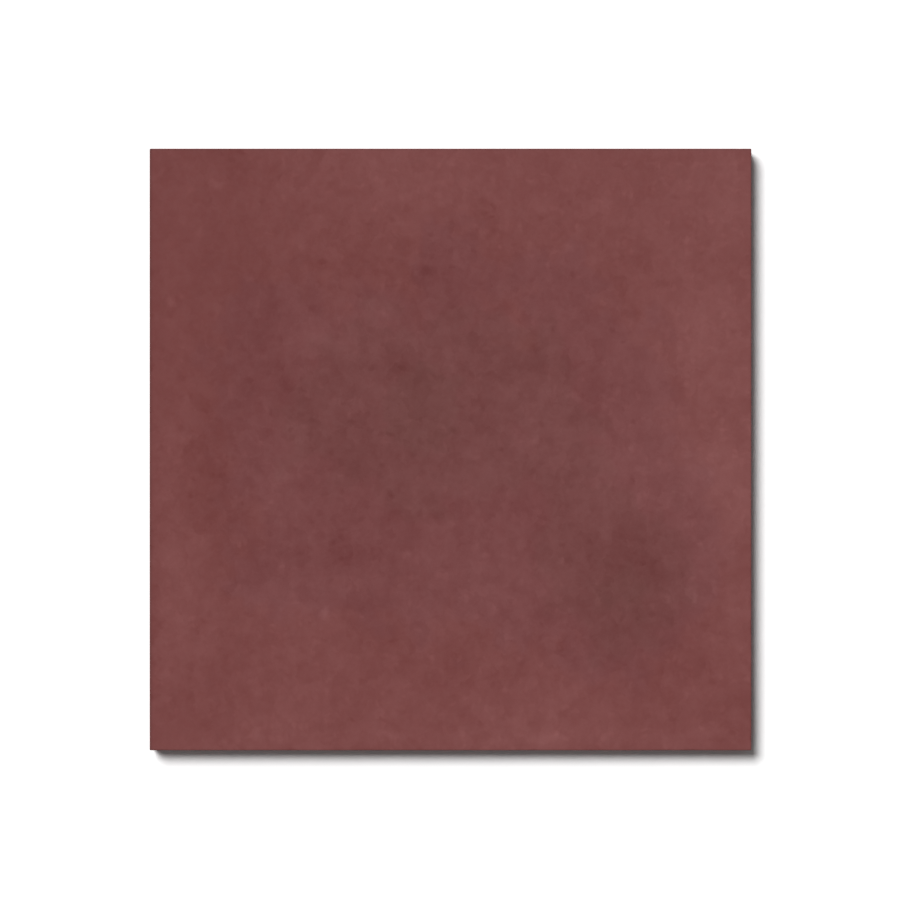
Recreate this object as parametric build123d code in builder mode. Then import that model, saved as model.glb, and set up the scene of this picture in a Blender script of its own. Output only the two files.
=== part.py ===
from build123d import *
from math import radians, tan
import os

# A square floor tile of through-coloured stoneware, dry-pressed and fired as one piece.
# It lies face up. The origin is at the middle of the back, +Z points out of the face,
# and X and Y run along the edges. Millimetres.

# Outline
side = 200.0            # face, edge to edge
thickness = 9.0         # back ribs to face
corner_radius = 0.4     # plan radius of the four corners
arris_radius = 0.35     # rounding along the four edges of the face

# Edges: an upright band under the face, then a lean-in towards the back for die release
lean_height = 3.4       # height of the leaning part, up from the back
lean_angle = 6.0        # degrees from upright
back_bevel = 0.4        # bevel along the four edges of the back

# Keyed back: a grid of shallow square recesses that the tile adhesive grips
cells = 8               # recesses each way
pitch = 23.0            # recess to recess
recess_side = 18.6      # at the mouth
recess_radius = 2.0     # plan radius of a recess's corners
recess_depth = 0.8
recess_draft = 30.0     # degrees that a recess's walls lean

# Worked out from the above
lean_inset = (lean_height - back_bevel) * tan(radians(lean_angle))
bevel_side = side - 2 * lean_inset        # where the lean meets the bevel
back_side = bevel_side - 2 * back_bevel   # the back itself

os.makedirs("parts", exist_ok=True)

with BuildPart() as tile:
    # bevel and leaning part, from the back up to the upright band
    with BuildSketch(Plane.XY) as back_outline:
        RectangleRounded(back_side, back_side, corner_radius * 0.4)
    with BuildSketch(Plane.XY.offset(back_bevel)) as bevel_outline:
        RectangleRounded(bevel_side, bevel_side, corner_radius * 0.7)
    with BuildSketch(Plane.XY.offset(lean_height)) as outline:
        RectangleRounded(side, side, corner_radius)
    loft(ruled=True)

    # upright band, up to the face
    with BuildSketch(Plane.XY.offset(lean_height)) as band_outline:
        RectangleRounded(side, side, corner_radius)
    extrude(amount=thickness - lean_height)

    # softened arris round the face
    face = tile.faces().sort_by(Axis.Z)[-1]
    fillet(face.edges(), radius=arris_radius)

    # grid of recesses in the back, with a plain rim around it and a rib crossing at its middle
    with BuildSketch(Plane.XY) as keys:
        with GridLocations(pitch, pitch, cells, cells):
            RectangleRounded(recess_side, recess_side, recess_radius)
    extrude(amount=recess_depth, taper=recess_draft, mode=Mode.SUBTRACT)

tile.part.label = "tile"
export_step(tile.part, "parts/tile.step")

box = tile.part.bounding_box()
print("tile", box.min, box.max, "volume", round(tile.part.volume), "solids", len(tile.part.solids()))
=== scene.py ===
import math

import bpy
import numpy as np
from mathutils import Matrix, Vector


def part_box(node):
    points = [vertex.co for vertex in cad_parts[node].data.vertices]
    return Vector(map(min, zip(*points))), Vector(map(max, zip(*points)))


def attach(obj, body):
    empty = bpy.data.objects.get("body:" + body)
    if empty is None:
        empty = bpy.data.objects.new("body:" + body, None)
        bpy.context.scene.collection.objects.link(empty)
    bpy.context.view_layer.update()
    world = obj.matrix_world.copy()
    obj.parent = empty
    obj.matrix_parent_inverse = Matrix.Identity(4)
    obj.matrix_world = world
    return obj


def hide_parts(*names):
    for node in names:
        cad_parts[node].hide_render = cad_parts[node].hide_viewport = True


# A square floor tile of through-coloured stoneware, lying face up on a plain pale floor.
# The mesh is laid out in millimetres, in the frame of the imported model, and scaled to metres at the end.

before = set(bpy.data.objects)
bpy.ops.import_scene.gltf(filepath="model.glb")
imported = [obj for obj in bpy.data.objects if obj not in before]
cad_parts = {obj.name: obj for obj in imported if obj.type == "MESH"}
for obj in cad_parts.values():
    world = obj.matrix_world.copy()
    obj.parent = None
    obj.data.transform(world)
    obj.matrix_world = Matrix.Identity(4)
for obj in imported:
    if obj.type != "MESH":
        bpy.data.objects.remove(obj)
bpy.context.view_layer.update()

low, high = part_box("tile")
HALF = round((high[0] - low[0]) * 500, 3)  # middle to edge
TOP = round((high[2] - low[2]) * 1000, 3)  # back to face

CORNER = 0.4  # plan radius of the corners
SEAM = 3.4  # height of the press seam on the edges
LEAN = math.tan(math.radians(6.0))  # how far the edges lean in below the seam
BEVEL = 0.4
CELLS, PITCH = 8, 23.0  # keyed back
MOUTH, MOUTH_RADIUS, DEPTH = 9.3, 2.0, 0.8


# ---------------------------------------------------------------- relief


def noise(x, y, cell, seed, around=None):
    """Smooth noise, mostly within -1 to 1, with features about `cell` mm across. With around, it repeats along x after that length."""
    rng = np.random.default_rng(seed)
    nx = 256 if around is None else max(3, round(around / cell))
    wide = cell if around is None else around / nx
    turn = rng.uniform(0, 2 * np.pi, (nx, 256))
    gx, gy = np.cos(turn), np.sin(turn)
    u, v = np.asarray(x) / wide + (0 if around else 128), np.asarray(y) / cell + 128
    i, j = np.floor(u).astype(int), np.floor(v).astype(int)
    f, g = u - i, v - j

    def corner(a, b):
        p, q = (i + a) % nx, (j + b) % 256
        return gx[p, q] * (f - a) + gy[p, q] * (g - b)

    s = f * f * f * (f * (f * 6 - 15) + 10)
    t = g * g * g * (g * (g * 6 - 15) + 10)
    near = corner(0, 0) * (1 - s) + corner(1, 0) * s
    far = corner(0, 1) * (1 - s) + corner(1, 1) * s
    return 1.5 * (near * (1 - t) + far * t)


def step(value, start, end):
    t = np.clip((np.asarray(value, float) - start) / (end - start), 0, 1)
    return t * t * (3 - 2 * t)


def face_height(x, y):
    """The fired face: a faint crown, slow waves, a fine ripple and grain, all below its highest point."""
    drop = 0.07 * ((x / HALF) ** 2 + (y / HALF) ** 2) / 2
    drop = drop + 0.034 * (1 + noise(x, y, 34, 11)) / 2
    drop = drop + 0.020 * (1 + noise(x, y, 12, 12)) / 2
    drop = drop + 0.012 * (1 + noise(x, y, 4.6, 13)) / 2
    drop = drop + 0.006 * (1 + noise(x, y, 2.1, 14)) / 2
    return TOP - np.maximum(drop - 0.012, 0)


# ---------------------------------------------------------------- mesh of the tile

points, quads, triangles = [], [], []  # blocks of points, and faces by material
count = 0


def add_points(x, y, z):
    global count
    block = np.stack([np.ravel(x), np.ravel(y), np.ravel(z)], 1)
    points.append(block)
    first = count
    count += len(block)
    return first + np.arange(len(block))


# The face: an even grid with a few close lines at its border, rounded at its corners.
INNER, BORDER = 98.6, 99.0
even = np.linspace(-INNER, INNER, 217)
close = INNER + (BORDER - INNER) * np.array([1, 2, 3]) / 3
lines = np.concatenate([-close[::-1], even, close])
N = len(lines) - 1
gx, gy = np.meshgrid(lines, lines)
p, q = np.abs(gx) - INNER, np.abs(gy) - INNER
in_corner = (p > 0) & (q > 0)
shrink = np.where(in_corner, np.maximum(p, q) / np.maximum(np.hypot(p, q), 1e-9), 1)
fx = np.where(in_corner, np.sign(gx) * (INNER + p * shrink), gx)
fy = np.where(in_corner, np.sign(gy) * (INNER + q * shrink), gy)
face_ids = add_points(fx, fy, face_height(fx, fy)).reshape(N + 1, N + 1)
quads.append(
    (
        0,
        np.stack(
            [face_ids[:-1, :-1], face_ids[:-1, 1:], face_ids[1:, 1:], face_ids[1:, :-1]],
            -1,
        ).reshape(-1, 4),
    )
)

# The border's points in order, anticlockwise from above, and where each lies on the outline.
walk = np.concatenate(
    [
        np.stack([np.zeros(N, int), np.arange(N)], 1),
        np.stack([np.arange(N), np.full(N, N)], 1),
        np.stack([np.full(N, N), np.arange(N, 0, -1)], 1),
        np.stack([np.arange(N, 0, -1), np.zeros(N, int)], 1),
    ]
)
border = face_ids[walk[:, 0], walk[:, 1]]
bx, by = lines[walk[:, 1]], lines[walk[:, 0]]
p, q = np.abs(bx) - INNER, np.abs(by) - INNER
bent = (p > -1e-9) & (q > -1e-9)
reach = np.maximum(np.hypot(p, q), 1e-9)
nx = np.where(bent, np.sign(bx) * p / reach, np.where(p > 0, np.sign(bx), 0))
ny = np.where(bent, np.sign(by) * q / reach, np.where(q > 0, np.sign(by), 0))


def outline(half, corner, sink=0.0):
    """The points of one row round the tile, on a rounded square, sunk inwards."""
    half, corner = np.broadcast_to(half, bx.shape), np.broadcast_to(corner, bx.shape)
    x = np.where(bent, np.sign(bx) * (half - corner) + corner * nx, np.where(nx != 0, nx * half, bx))
    y = np.where(bent, np.sign(by) * (half - corner) + corner * ny, np.where(ny != 0, ny * half, by))
    return x - nx * sink, y - ny * sink


ox, oy = outline(HALF, CORNER)
stride = np.hypot(np.diff(np.append(ox, ox[0])), np.diff(np.append(oy, oy[0])))
along = np.concatenate([[0], np.cumsum(stride)[:-1]])
ROUND = stride.sum()

# The arris is a little uneven, with a few tiny nicks, and even at the corners.
rng = np.random.default_rng(7)
arris = 0.34 + 0.07 * noise(along, 0 * along, 17, 21, ROUND) + 0.04 * noise(along, 0 * along, 3.2, 22, ROUND)
for place, length, bite in zip(rng.uniform(0, ROUND, 22), rng.uniform(0.7, 1.9, 22), rng.uniform(0.05, 0.24, 22)):
    gap = (along - place + ROUND / 2) % ROUND - ROUND / 2
    arris = arris + bite * np.exp(-((gap / length) ** 2))
plain = step(np.minimum(np.abs(ox), np.abs(oy)), HALF - 4.0, HALF - CORNER)
arris = np.clip(arris, 0.22, 0.62) * (1 - plain) + 0.35 * plain


def edge_sink(z):
    """How far the pressed edges lie inside the outline: slow waves, a fine grain, and upright drag marks on the band."""
    level = np.full_like(along, z)
    slow = 0.030 * (1 + noise(along, level * 2.0, 22, 31, ROUND)) / 2
    grain = 0.040 * (1 + noise(along, level, 2.3, 32, ROUND)) / 2
    drag = 0.030 * np.maximum(noise(along, level * 0.12, 2.6, 33, ROUND), 0)
    return (slow + grain + drag * step(z, SEAM, SEAM + 0.5)) * step(z, -0.3, 0.5) * step(z, TOP - 0.45, TOP - 1.3)


rings, ring_paths = [border], [np.zeros(len(border))]  # points, and the way to each over the surface
last = np.stack([fx[walk[:, 0], walk[:, 1]], fy[walk[:, 0], walk[:, 1]], face_height(bx, by)], 1)


def add_ring(x, y, z):
    global last
    z = np.broadcast_to(z, x.shape)
    here = np.stack([x, y, z], 1)
    rings.append(add_points(x, y, z))
    ring_paths.append(ring_paths[-1] + np.linalg.norm(here - last, axis=1))
    last = here


def join(upper, lower, slot):
    a, b = rings[upper], rings[lower]
    quads.append((slot, np.stack([a, b, np.roll(b, -1), np.roll(a, -1)], 1)))


for turn in (0, 18, 36, 54, 72, 90):
    inset = arris * (1 - math.sin(math.radians(turn)))
    x, y = outline(HALF - inset, CORNER - inset)
    add_ring(x, y, face_height(x, y) - arris * (1 - math.cos(math.radians(turn))))
ARRIS_END = len(rings) - 1

waver = 0.05 * noise(along, 0 * along, 40, 34, ROUND)  # the seam isn't quite level
for z, inset in ((8.05, 0), (7.4, 0), (6.6, 0), (5.8, 0), (5.0, 0), (4.25, 0), (3.75, 0), (3.55, 0.0), (3.47, 0.03), (3.38, 0.12)):
    x, y = outline(HALF - inset, CORNER, edge_sink(z))
    add_ring(x, y, z + waver * step(z, 5.0, 3.8))
for z in (3.24, 2.6, 1.9, 1.2, 0.66, 0.46):
    half = HALF - 0.12 - (SEAM - z) * LEAN * 0.93
    x, y = outline(half, CORNER - 0.12 * (SEAM - z) / SEAM, edge_sink(z))
    add_ring(x, y, z + waver * step(z, 1.5, 3.2))
foot = HALF - 0.12 - (SEAM - BEVEL) * LEAN * 0.93
for z, inset in ((0.33, 0.05), (0.18, 0.19), (0.06, 0.32), (0.0, 0.42), (0.0, 0.60)):
    x, y = outline(foot - inset, 0.3 - inset * 0.2, 0.0)
    add_ring(x, y, z)
EDGE_END = len(rings) - 2  # the last row already lies on the back
for k in range(len(rings) - 1):
    join(k, k + 1, 0 if k < ARRIS_END else 1 if k < EDGE_END else 2)

# The keyed back: a grid whose lines follow the mouths of the recesses.
across = np.array([3.6, 7.3, 8.0, 8.72, 8.9, 9.15, 9.38])
cell = np.concatenate([-across[::-1], across])
back_lines = [-98.2, -95.0]
for c in range(CELLS):
    middle = (c - (CELLS - 1) / 2) * PITCH
    back_lines += [middle - PITCH / 2, *(middle + cell)]
back_lines = np.array(back_lines + [CELLS * PITCH / 2, 95.0, 98.2])
M = len(back_lines) - 1
kx, ky = np.meshgrid(back_lines, back_lines)
cx = np.clip(np.floor(kx / PITCH + CELLS / 2), 0, CELLS - 1)
cy = np.clip(np.floor(ky / PITCH + CELLS / 2), 0, CELLS - 1)
mx, my = (cx - (CELLS - 1) / 2) * PITCH, (cy - (CELLS - 1) / 2) * PITCH
u, v = kx - mx, ky - my
keyed = (np.abs(u) <= PITCH / 2 + 1e-6) & (np.abs(v) <= PITCH / 2 + 1e-6)
level = np.maximum(np.abs(u), np.abs(v))
start = MOUTH - MOUTH_RADIUS
p, q = np.abs(u) - start, np.abs(v) - start
turned = keyed & (p > 0) & (q > 0)
most, reach = np.maximum(p, q), np.maximum(np.hypot(p, q), 1e-9)
square = step(most, MOUTH_RADIUS + 0.3, PITCH / 2 - start)
pull = np.where(turned, most / reach * (1 - square) + square, 1)
kx2 = np.where(turned, mx + np.sign(u) * (start + p * pull), kx)
ky2 = np.where(turned, my + np.sign(v) * (start + q * pull), ky)
sunk = np.interp(level, [0, 8.6, 8.72, 8.9, 9.15, 9.38], [1, 1, 0.93, 0.62, 0.18, 0])
each = np.random.default_rng(9).uniform(0.93, 1.0, (CELLS, CELLS))[cy.astype(int), cx.astype(int)]
sunk = np.where(keyed, sunk * DEPTH * each, 0)
uneven = 0.035 * (1 + noise(kx2, ky2, 13, 41)) / 2 + 0.02 * (1 + noise(kx2, ky2, 5, 42)) / 2
kz = sunk + np.where(sunk > 0, -uneven * sunk / DEPTH, 0.4 * uneven * step(np.maximum(np.abs(kx), np.abs(ky)), 97, 90))
kz[np.unravel_index(np.argmin(kz), kz.shape)] = 0.0
back_ids = add_points(kx2, ky2, np.maximum(kz, 0)).reshape(M + 1, M + 1)
quads.append(
    (
        2,
        np.stack(
            [back_ids[:-1, :-1], back_ids[1:, :-1], back_ids[1:, 1:], back_ids[:-1, 1:]],
            -1,
        ).reshape(-1, 4),
    )
)

# A flat strip joins the edges' last row to the border of that grid, whose points are further apart.


def way_round(x, y):
    """Where a point lies round the middle, from 0 to 4, anticlockwise from the near left corner."""
    big = np.maximum(np.abs(x), np.abs(y))
    return np.select(
        [(-y >= np.abs(x)) & (x < -y), (x >= np.abs(y)) & (y < x), (y >= np.abs(x)) & (x > -y)],
        [(x / big + 1) / 2, 1 + (y / big + 1) / 2, 2 + (1 - x / big) / 2],
        3 + (1 - y / big) / 2,
    )


inner = np.concatenate([back_ids[0, :-1], back_ids[:-1, -1], back_ids[-1, :0:-1], back_ids[:0:-1, 0]])
every = np.concatenate(points)
outer = rings[-1]
loops = []
for ids in (outer, inner):
    where = way_round(every[ids, 0], every[ids, 1])
    first = int(np.argmin(where))
    loops.append((np.roll(ids, -first), np.append(np.roll(where, -first), 4.0 + where[first])))
(o_ids, o_way), (i_ids, i_way) = loops
a = b = 0
strip = []
while a < len(o_ids) or b < len(i_ids):
    o, i = o_ids[a % len(o_ids)], i_ids[b % len(i_ids)]
    if b >= len(i_ids) or (a < len(o_ids) and o_way[a + 1] <= i_way[b + 1]):
        a += 1
        strip.append((o, i, o_ids[a % len(o_ids)]))
    else:
        b += 1
        strip.append((o, i, i_ids[b % len(i_ids)]))
triangles.append((2, np.array(strip)))

# A flat layout of the whole surface: the face with its arris, the four edges as strips, and the back.
FACE_UV, BACK_UV = 0.70 / 201.6, 0.28 / 199.0
uv_face = np.full((count, 2), np.nan)
uv_face[face_ids.ravel()] = np.stack([fx.ravel(), fy.ravel()], 1)
for ids, path in zip(rings[1 : ARRIS_END + 1], ring_paths[1 : ARRIS_END + 1]):
    uv_face[ids] = np.stack([every[border, 0] + nx * path, every[border, 1] + ny * path], 1)
uv_face = (uv_face + 100.8) * FACE_UV + 0.004
uv_back = (every[:, :2] + 99.5) * BACK_UV + np.array([0.716, 0.004])
side_of = np.repeat([0, 1, 2, 3], N)
run = np.select([side_of == 0, side_of == 1, side_of == 2], [ox, oy, -ox], -oy)
uv_edge = {}
for k in range(ARRIS_END, EDGE_END + 1):
    path = ring_paths[k] - ring_paths[ARRIS_END]
    uv_edge[k] = np.stack([(run + 100.8) * FACE_UV + 0.004, 0.725 + 0.046 * side_of + path * FACE_UV], 1)

faces, slots, uvs = [], [], []
ring_at = ARRIS_END
for slot, block in quads:
    faces += block.tolist()
    slots.append(np.full(len(block), slot))
    if slot == 0:
        uvs.append(uv_face[block].reshape(-1, 2))
    elif slot == 1:
        upper, lower = uv_edge[ring_at], uv_edge[ring_at + 1]
        after_u, after_l = np.roll(upper, -1, 0), np.roll(lower, -1, 0)
        # the last point of each side ends on its own strip, not on the next side's
        for s in range(4):
            end = (s + 1) * N - 1
            for row, src in ((after_u, upper), (after_l, lower)):
                row[end] = [(100.0 + 100.8) * FACE_UV + 0.004, src[end, 1]]
        uvs.append(np.stack([upper, lower, after_l, after_u], 1).reshape(-1, 2))
        ring_at += 1
    else:
        uvs.append(uv_back[block].reshape(-1, 2))
for slot, block in triangles:
    faces += block.tolist()
    slots.append(np.full(len(block), slot))
    uvs.append(uv_back[block].reshape(-1, 2))

mesh = bpy.data.meshes.new("floor_tile")
mesh.from_pydata((every * 0.001).tolist(), [], faces)
mesh.polygons.foreach_set("material_index", np.concatenate(slots).astype(np.int32))
mesh.polygons.foreach_set("use_smooth", np.ones(len(faces), bool))
mesh.uv_layers.new(name="OFBake").data.foreach_set("uv", np.concatenate(uvs).astype(np.float32).ravel())
mesh.update()
tile = bpy.data.objects.new("floor_tile", mesh)
bpy.context.scene.collection.objects.link(tile)


# ---------------------------------------------------------------- materials


class Web:
    """A material's nodes, made by short calls. A value is a number, a triple or another node's output."""

    def __init__(self, name):
        self.material = bpy.data.materials.new(name)
        self.material.use_nodes = True
        self.tree = self.material.node_tree
        self.tree.nodes.clear()
        self.shader = self.tree.nodes.new("ShaderNodeBsdfPrincipled")
        end = self.tree.nodes.new("ShaderNodeOutputMaterial")
        self.tree.links.new(self.shader.outputs[0], end.inputs["Surface"])
        place = self.tree.nodes.new("ShaderNodeTexCoord")
        self.at = self.vector("SCALE", place.outputs["Object"], scale=1000.0)  # in millimetres
        split = self.tree.nodes.new("ShaderNodeSeparateXYZ")
        self.feed(split.inputs[0], self.at)
        self.x, self.y, self.z = split.outputs

    def feed(self, socket, value):
        if isinstance(value, bpy.types.NodeSocket):
            self.tree.links.new(value, socket)
        else:
            socket.default_value = value

    def math(self, operation, *values, clamp=False):
        n = self.tree.nodes.new("ShaderNodeMath")
        n.operation, n.use_clamp = operation, clamp
        for socket, value in zip(n.inputs, values):
            self.feed(socket, value)
        return n.outputs[0]

    def vector(self, operation, *values, scale=None):
        n = self.tree.nodes.new("ShaderNodeVectorMath")
        n.operation = operation
        for socket, value in zip(n.inputs, values):
            self.feed(socket, value)
        if scale is not None:
            self.feed(n.inputs["Scale"], scale)
        return n.outputs["Value" if operation in ("DOT_PRODUCT", "LENGTH") else "Vector"]

    def noise(self, at, size, detail, rough, bend=0.0, shift=None, colour=False, flat=False):
        """Noise with features about `size` mm across, from 0 to 1. A flat one is the same all the way down."""
        if shift is not None:
            at = self.vector("ADD", at, shift)
        n = self.tree.nodes.new("ShaderNodeTexNoise")
        n.noise_dimensions = "2D" if flat else "3D"
        self.feed(n.inputs["Vector"], at)
        for name, value in (("Scale", 1.0 / size), ("Detail", detail), ("Roughness", rough), ("Distortion", bend)):
            n.inputs[name].default_value = value
        return n.outputs["Color" if colour else 0]

    def chips(self, at, size, share, shift):
        """Scattered chips about `size` mm apart, of differing strength, in that share of the places."""
        n = self.tree.nodes.new("ShaderNodeTexVoronoi")
        n.voronoi_dimensions, n.feature = "2D", "F1"
        self.feed(n.inputs["Vector"], self.vector("ADD", at, shift))
        n.inputs["Scale"].default_value = 1.0 / size
        split = self.tree.nodes.new("ShaderNodeSeparateXYZ")
        self.feed(split.inputs[0], n.outputs["Color"])
        shape = self.fit(n.outputs["Distance"], 0.60, 0.10)
        return self.math("MULTIPLY", shape, self.fit(split.outputs[0], 1.0 - share, 1.0, smooth=False))

    def cells(self, at, size, shift):
        """Small patches about `size` mm across, each of one tone from 0 to 1."""
        n = self.tree.nodes.new("ShaderNodeTexVoronoi")
        n.voronoi_dimensions, n.feature = "2D", "F1"
        self.feed(n.inputs["Vector"], self.vector("ADD", at, shift))
        n.inputs["Scale"].default_value = 1.0 / size
        split = self.tree.nodes.new("ShaderNodeSeparateXYZ")
        self.feed(split.inputs[0], n.outputs["Color"])
        return split.outputs[0]

    def fit(self, value, a, b, c=0.0, d=1.0, smooth=True):
        n = self.tree.nodes.new("ShaderNodeMapRange")
        n.interpolation_type = "SMOOTHSTEP" if smooth else "LINEAR"
        for name, v in (("Value", value), ("From Min", a), ("From Max", b), ("To Min", c), ("To Max", d)):
            self.feed(n.inputs[name], v)
        return n.outputs[0]

    def mix(self, share, a, b):
        n = self.tree.nodes.new("ShaderNodeMix")
        n.data_type = "RGBA"
        self.feed(n.inputs[0], share)
        for socket, value in ((n.inputs[6], a), (n.inputs[7], b)):
            self.feed(socket, value if isinstance(value, bpy.types.NodeSocket) else (*value, 1.0))
        return n.outputs[2]

    def spread(self, value, middle, amount):
        """value, moved to lie about zero and scaled."""
        return self.math("MULTIPLY_ADD", value, amount, -middle * amount)

    def patches(self, at, spots):
        """The sum of soft elliptical patches, each given by its middle, its half-widths and its strength."""
        total = 0.0
        for px, py, rx, ry, strength in spots:
            offset = self.vector("MULTIPLY_ADD", at, (1 / rx, 1 / ry, 0), (-px / rx, -py / ry, 0))
            square = self.vector("DOT_PRODUCT", offset, offset)
            total = self.math("MULTIPLY_ADD", self.math("POWER", 0.367879, square), strength, total)
        return total

    def bump(self, height, distance, strength=1.0, normal=None):
        n = self.tree.nodes.new("ShaderNodeBump")
        n.inputs["Strength"].default_value = strength
        n.inputs["Distance"].default_value = distance
        self.feed(n.inputs["Height"], height)
        if normal is not None:
            self.feed(n.inputs["Normal"], normal)
        return n.outputs[0]


# The mottle of the face, listed patch by patch: x, y, half-widths along X and Y (mm), and tone.
MOTTLE = (
    # the broad darker cloud over the middle and left, and the darker spots in it
    (-7, 11, 55, 45, -2.6),
    (-63, 33, 15, 20, -2.3),
    (-52, 18, 11, 12, -1.6),
    (-8, 57, 11, 11, -3.4),
    (-16, 26, 14, 12, -2.2),
    (-22, 7, 9, 8, 1.2),
    (-34, -2, 14, 12, -2.4),
    (-40, -34, 16, 9, -3.2),
    (31, 29, 13, 8, -2.8),
    (49, 11, 9, 9, -1.0),
    # the darkest cloud, low on the right, and its tail
    (60, -48, 22, 27, -4.7),
    (66, -34, 14, 14, -1.0),
    (76, -80, 14, 10, -1.6),
    (70, -54, 10, 12, -0.8),
    (52, -70, 9, 8, -1.3),
    (50, -30, 9, 9, -1.2),
    (92, -90, 9, 9, -2.4),
    # the left side and the top
    (-75, 99, 15, 8, -2.3),
    (-86, 48, 20, 44, -2.6),
    (-66, 73, 14, 10, -1.6),
    (-58, 58, 26, 22, -0.8),
    (-34, 59, 14, 11, -1.5),
    (-79, -9, 13, 16, -3.7),
    (-71, -50, 11, 11, -1.5),
    (-66, -34, 14, 11, -1.1),
    (-22, -62, 10, 12, -1.8),
    (2, -69, 9, 8, -1.6),
    (12, 72, 10, 9, -2.8),
    (53, 56, 13, 11, -1.6),
    (-79, -88, 8, 14, -1.4),
    (-12, -30, 10, 9, -1.3),
    # lighter bloom along the right edge
    (90, 4, 24, 100, 2.8),
    (94, -11, 14, 20, 6.0),
    (86, 38, 15, 15, 3.4),
    (91, 90, 14, 16, 2.6),
    (94, -58, 12, 22, 1.0),
    (80, 46, 34, 48, 1.2),
    # lighter bloom along the other edges
    (30, 88, 64, 20, 2.0),
    (-16, 96, 25, 14, 2.9),
    (0, -90, 95, 18, 1.2),
    (12, -92, 30, 11, 1.3),
    (-56, -97, 16, 15, 3.4),
    (44, -87, 26, 13, 3.2),
    (-90, -44, 9, 26, 2.6),
    (-96, 1, 8, 10, 4.2),
    (-92, 68, 10, 30, 0.8),
    # lighter spots inside
    (8, -47, 20, 14, 2.9),
    (61, -4, 17, 13, 3.6),
    (28, 1, 9, 11, 2.0),
    (-54, -9, 9, 9, 2.0),
    (-31, 47, 12, 8, 2.0),
    (-48, 35, 9, 9, 4.0),
    (-55, -52, 16, 9, 2.4),
    (-50, -70, 11, 10, 1.2),
    (-10, -9, 10, 9, 1.3),
)
# Narrow stripes along the border: the darker rim on the left with a paler stripe beside it, and pale rims.
RIMS = (
    (-101, 0, 5, 150, -2.8),
    (-91.5, -40, 5, 70, 1.6),
    (48, -95.5, 48, 3.6, 2.0),
    (99, -62, 5, 26, 1.8),
)
# Single marks that stand out: dark smudges, and pale flecks, most of them near the edges.
MARKS = (
    (-8, 59, 2.6, 1.6, -7.0),
    (-55, 22, 1.8, 2.6, -4.4),
    (60, -9, 1.2, 3.0, -4.8),
    (21, -46, 2.0, 2.0, -2.4),
    (41, 10, 3.0, 2.6, -7.2),
    (75, 19, 2.6, 2.6, -5.4),
    (-4, -22, 2.2, 2.2, -5.8),
    (-18, -14, 2.2, 1.4, -3.8),
    (38, -88, 1.6, 1.6, -3.2),
    (54, 42, 2.2, 3.0, -3.9),
    (11, 79, 2.4, 2.2, -3.3),
    (-79, -79, 3.0, 3.0, -2.8),
    (-31, -7, 2.4, 2.4, -3.0),
    (-22, -95, 4.5, 1.6, 7.0),
    (4, -95, 2.2, 1.8, 5.8),
    (30, -96, 5.0, 1.6, 6.2),
    (86, -94, 4.5, 2.6, 6.4),
    (-64, -95, 2.4, 2.2, 4.0),
    (81, -49, 1.2, 2.6, 3.8),
    (39, 67, 2.4, 2.4, 5.8),
    (26, 69, 1.4, 2.4, 3.8),
    (40, 18, 2.6, 1.4, 7.4),
    (-56, -39, 1.4, 2.4, 7.0),
    (-54, -50, 2.4, 6.0, 2.8),
    (-41, -54, 1.3, 2.4, 8.0),
    (-64, -81, 1.4, 1.4, 4.8),
    (-83, 72, 1.4, 2.4, 7.0),
    (-48, 68, 3.0, 2.4, 4.6),
    (-17, 56, 1.7, 1.5, 6.6),
    (-93, 49, 1.5, 1.6, 8.0),
    (-73, 18, 1.3, 3.0, 2.6),
    (-77, 88, 2.1, 1.5, 6.4),
    (-56, 95, 1.2, 2.6, 8.0),
    (-31, 94, 1.7, 3.0, 3.4),
)
# Where the colour turns a little cooler, in three steps one inside the other, and where the fine texture is smoother.
HAZE = (
    (-18, 4, 70, 58, 1.0),
    (58, -40, 37, 42, 0.9),
    (-2, 68, 12, 18, 0.45),
    (36, 58, 15, 18, 0.42),
    (62, 30, 22, 24, 0.4),
    (-64, 46, 20, 18, 0.35),
    (-56, -46, 22, 16, 0.4),
    (0, -54, 30, 14, 0.2),
)
GREY = (
    (-14, 14, 48, 38, 1.0),
    (26, 32, 16, 18, 0.45),
    (55, -40, 29, 31, 1.0),
    (38, 2, 12, 16, 0.4),
)
CORE = ((-10, 13, 16, 17, 1.0), (59, -46, 19, 23, 0.55))
SMOOTH = ((-86, 62, 26, 42, 0.75), (-97, -97, 16, 14, 0.6))

FACE = (0.1450, 0.0393, 0.0373)  # the face's colour
TONE = (0.00281, 0.00150, 0.00150)  # how it changes with the mottle and the fine texture
COOLER = (
    (HAZE, (-0.0039, 0.0006, 0.0026)),
    (GREY, (-0.0043, 0.0012, 0.0)),
    (CORE, (-0.0039, 0.0011, 0.0)),
)


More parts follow.
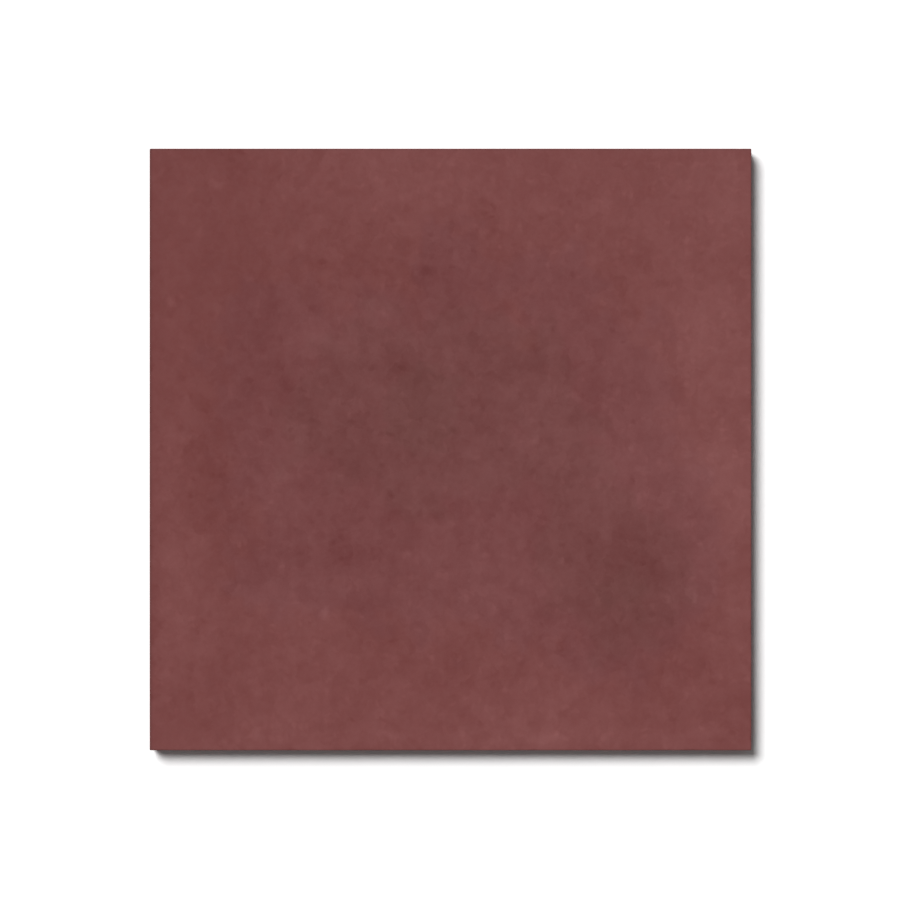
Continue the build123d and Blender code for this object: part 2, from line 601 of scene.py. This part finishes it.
def face_material():
    w = Web("tile_face")
    # ragged outlines for the patches
    slow = w.noise(w.at, 24, 2, 0.55, shift=(31, 7, 0), colour=True, flat=True)
    fast = w.noise(w.at, 6.5, 3, 0.7, shift=(3, 57, 0), colour=True, flat=True)
    moved = w.vector("MULTIPLY_ADD", slow, (16, 16, 0), w.vector("ADD", w.at, (-8, -8, 0)))
    moved = w.vector("MULTIPLY_ADD", fast, (12, 12, 0), w.vector("ADD", moved, (-6, -6, 0)))
    tone = w.patches(moved, MOTTLE)
    nudged = w.vector("MULTIPLY_ADD", fast, (4, 4, 0), w.vector("ADD", w.at, (-2, -2, 0)))
    rims = w.patches(nudged, RIMS + MARKS)
    crisp = w.math("SUBTRACT", 1.0, w.patches(w.at, SMOOTH), clamp=True)

    # cloudy texture, breaking up into small clumps with clearer edges
    cloud = w.spread(w.noise(w.at, 18, 1, 0.8, shift=(140, 40, 0), flat=True), 0.5, 5.2)
    grain = w.noise(w.at, 8, 4, 0.65, shift=(90, 190, 0), flat=True)
    clump = w.fit(grain, 0.41, 0.59)
    crumb = w.fit(w.noise(w.at, 4.2, 3, 0.6, bend=0.3, shift=(190, 20, 0), flat=True), 0.44, 0.62)
    fine = w.math("MULTIPLY_ADD", crumb, 1.1, w.spread(clump, 0.9, 1.3))
    fine = w.math("MULTIPLY_ADD", grain, 1.8, w.math("SUBTRACT", fine, 0.9))
    frayed = w.vector("MULTIPLY_ADD", fast, (7.0, 7.0, 0), w.at)
    chaff = w.math("ADD", w.cells(frayed, 2.7, (15, 33, 0)), w.cells(frayed, 1.8, (75, 3, 0)))
    fine = w.math("ADD", fine, w.spread(chaff, 1.0, 1.7))
    wiped = w.cells(w.vector("MULTIPLY", frayed, (1.2, 0.8, 1)), 4.8, (33, 71, 0))
    fine = w.math("ADD", fine, w.spread(wiped, 0.5, 2.9))
    # short flecks in loose clusters, pale ones upright or level, and dark ones
    ragged = w.vector("MULTIPLY_ADD", fast, (3.2, 3.2, 0), w.at)
    where = w.math("MULTIPLY_ADD", tone, 0.024, w.noise(w.at, 11, 2, 0.6, shift=(60, 0, 0), flat=True))
    where = w.math("MULTIPLY_ADD", rims, 0.05, where)
    pale = w.chips(w.vector("MULTIPLY", ragged, (1.35, 0.85, 1)), 3.1, 0.33, (0, 60, 0))
    level = w.chips(w.vector("MULTIPLY", ragged, (0.8, 1.4, 1)), 3.0, 0.22, (70, 10, 0))
    pale = w.math("MULTIPLY", w.math("ADD", pale, level), w.fit(where, 0.43, 0.60))
    dark = w.chips(w.vector("MULTIPLY", ragged, (0.9, 1.0, 1)), 3.0, 0.22, (40, 140, 0))
    dark = w.math("MULTIPLY", dark, w.fit(where, 0.62, 0.44))
    detail = w.math("MULTIPLY_ADD", pale, 4.8, fine)
    detail = w.math("MULTIPLY_ADD", dark, -3.9, detail)
    detail = w.math("MULTIPLY", detail, w.math("MULTIPLY_ADD", crisp, 0.72, 0.40))

    shade = w.math("ADD", w.math("ADD", w.math("MULTIPLY_ADD", tone, 1.2, cloud), rims), detail)
    colour = w.vector("MULTIPLY_ADD", shade, TONE, FACE)
    broken = w.spread(w.noise(w.at, 13, 1, 0.6, shift=(20, 170, 0), flat=True), 0.5, 0.5)
    for spots, change in COOLER:
        share = w.fit(w.math("ADD", w.patches(moved, spots), broken), 0.38, 0.62)
        colour = w.vector("MULTIPLY_ADD", share, change, colour)
    # the arris is painted darker, as painted shade against the light that falls on it: a little all round, and most of
    # all on the left and at the top, which face the light
    arris_painted_shade = w.math("MULTIPLY", w.fit(w.x, -99.9, -98.7, 0.77, 1.0), w.fit(w.y, 99.1, 99.9, 1.0, 0.77))
    # the painted shade dims the whole arris a little, all round
    arris_painted_shade = w.math("MULTIPLY", arris_painted_shade, w.fit(w.z, TOP - 0.14, TOP - 0.32, 1.0, 0.92))
    colour = w.vector("SCALE", colour, scale=arris_painted_shade)
    w.feed(w.shader.inputs["Base Color"], colour)

    rough = w.spread(w.noise(w.at, 3.5, 3, 0.7, shift=(90, 0, 0), flat=True), 0.5, 0.22)
    rough = w.math("ADD", w.math("MULTIPLY_ADD", pale, 0.06, 0.76), rough)
    w.feed(w.shader.inputs["Roughness"], rough)
    w.shader.inputs["Specular IOR Level"].default_value = 0.25
    sand = w.noise(w.at, 0.55, 2, 0.65, shift=(0, 30, 0), flat=True)
    pores = w.fit(w.noise(w.at, 1.1, 1, 0.5, shift=(20, 0, 0), flat=True), 0.70, 0.84)
    w.feed(w.shader.inputs["Normal"], w.bump(w.math("MULTIPLY_ADD", pores, -0.35, sand), 0.00002, 0.35))
    return w.material


def body_material(name, back):
    """The pressed body where it shows: the edges, or the keyed back."""
    w = Web(name)
    blotch = w.spread(w.noise(w.at, 16, 4, 0.7, shift=(5, 5, 0)), 0.5, 0.55)
    grain = w.spread(w.noise(w.at, 1.3, 4, 0.75, shift=(0, 80, 0)), 0.5, 0.60)
    total = w.math("ADD", w.math("ADD", blotch, grain), 1.0)
    body = (0.168, 0.0560, 0.0535)
    colour = w.vector("SCALE", body, scale=total)
    pale = w.fit(w.noise(w.at, 0.9, 2, 0.6, shift=(7, 0, 20)), 0.66, 0.80, 0.0, 0.30)
    dark = w.fit(w.noise(w.at, 0.8, 1, 0.6, shift=(0, 9, 60)), 0.68, 0.82, 0.0, 0.35)
    if back:
        # kiln dust on the ribs, thinner towards the recesses
        dust = w.noise(w.at, 9, 5, 0.7, shift=(11, 0, 0))
        dust = w.math("MULTIPLY", w.fit(dust, 0.36, 0.68, 0.10, 0.55), w.fit(w.z, 0.02, 0.22, 1.0, 0.18))
        colour = w.mix(dust, colour, (0.34, 0.245, 0.230))
    else:
        # faint upright drag marks, the thin dark seam, and the face's colour near the arris
        drawn = w.vector("MULTIPLY", w.at, (1.0, 1.0, 0.07))
        drag = w.spread(w.noise(drawn, 0.9, 3, 0.6, shift=(0, 0, 3)), 0.5, 0.35)
        colour = w.vector("SCALE", colour, scale=w.math("ADD", drag, 1.0))
        seam = w.math("ABSOLUTE", w.math("SUBTRACT", w.z, 3.40))
        colour = w.mix(w.fit(seam, 0.05, 0.17, 0.40, 0.0), colour, (0.070, 0.021, 0.020))
        near = w.math("MULTIPLY_ADD", w.noise(w.at, 3, 3, 0.6), 1.2, w.z)
        colour = w.mix(w.fit(near, 8.0, 9.2), colour, FACE)
    colour = w.mix(pale, colour, (0.30, 0.175, 0.165))
    colour = w.mix(dark, colour, (0.085, 0.027, 0.025))
    w.feed(w.shader.inputs["Base Color"], colour)
    w.feed(w.shader.inputs["Roughness"], w.math("MULTIPLY_ADD", w.noise(w.at, 2.2, 3, 0.6), 0.20, 0.74))
    w.shader.inputs["Specular IOR Level"].default_value = 0.28
    height = w.math("MULTIPLY_ADD", pale, 0.6, w.noise(w.at, 0.7, 4, 0.7, shift=(40, 0, 0)))
    w.feed(w.shader.inputs["Normal"], w.bump(height, 0.00005, 0.7))
    return w.material


mesh.materials.append(face_material())
mesh.materials.append(body_material("tile_edge", False))
mesh.materials.append(body_material("tile_back", True))
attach(tile, "root")
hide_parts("tile")


# ---------------------------------------------------------------- floor, light and camera

bpy.ops.mesh.primitive_plane_add(size=60.0, location=(0, 0, 0))
floor = bpy.context.object
floor.name = "floor"
paper = bpy.data.materials.new("floor_white")
paper.use_nodes = True
coat = paper.node_tree.nodes["Principled BSDF"]
coat.inputs["Base Color"].default_value = (0.96, 0.96, 0.96, 1)
coat.inputs["Roughness"].default_value = 0.9
coat.inputs["Specular IOR Level"].default_value = 0.0
floor.data.materials.append(paper)

sun = bpy.data.objects.new("key", bpy.data.lights.new("key", "SUN"))
sun.data.energy = 4.073
sun.data.angle = math.radians(29.6)
bpy.context.scene.collection.objects.link(sun)
towards = (-0.41, 0.487, 1.0)
sun.rotation_euler = (
    math.atan2(math.hypot(towards[0], towards[1]), towards[2]),
    0,
    math.atan2(towards[0], -towards[1]),
)

world = bpy.data.worlds.new("studio")
world.use_nodes = True
bpy.context.scene.world = world
sky = world.node_tree.nodes["Background"]
sky.inputs["Color"].default_value = (1, 1, 1, 1)
seen = world.node_tree.nodes.new("ShaderNodeLightPath")
level = world.node_tree.nodes.new("ShaderNodeMapRange")
world.node_tree.links.new(seen.outputs["Is Camera Ray"], level.inputs["Value"])
level.inputs["To Min"].default_value = 0.135  # soft fill from all round
level.inputs["To Max"].default_value = 1.1  # white behind the floor's far edge
world.node_tree.links.new(level.outputs[0], sky.inputs["Strength"])

FRAME = 0.29905  # width of the picture at the face
camera = bpy.data.objects.new("camera", bpy.data.cameras.new("camera"))
camera.data.lens = 200
camera.data.sensor_width = 36
camera.location = (-0.00017, -0.00017, TOP * 0.001 + FRAME * 200 / 36)
camera.rotation_euler = (0, 0, 0)
camera.data.clip_end = 50
bpy.context.scene.collection.objects.link(camera)
bpy.context.scene.camera = camera
bpy.context.scene.view_settings.view_transform = "Standard"
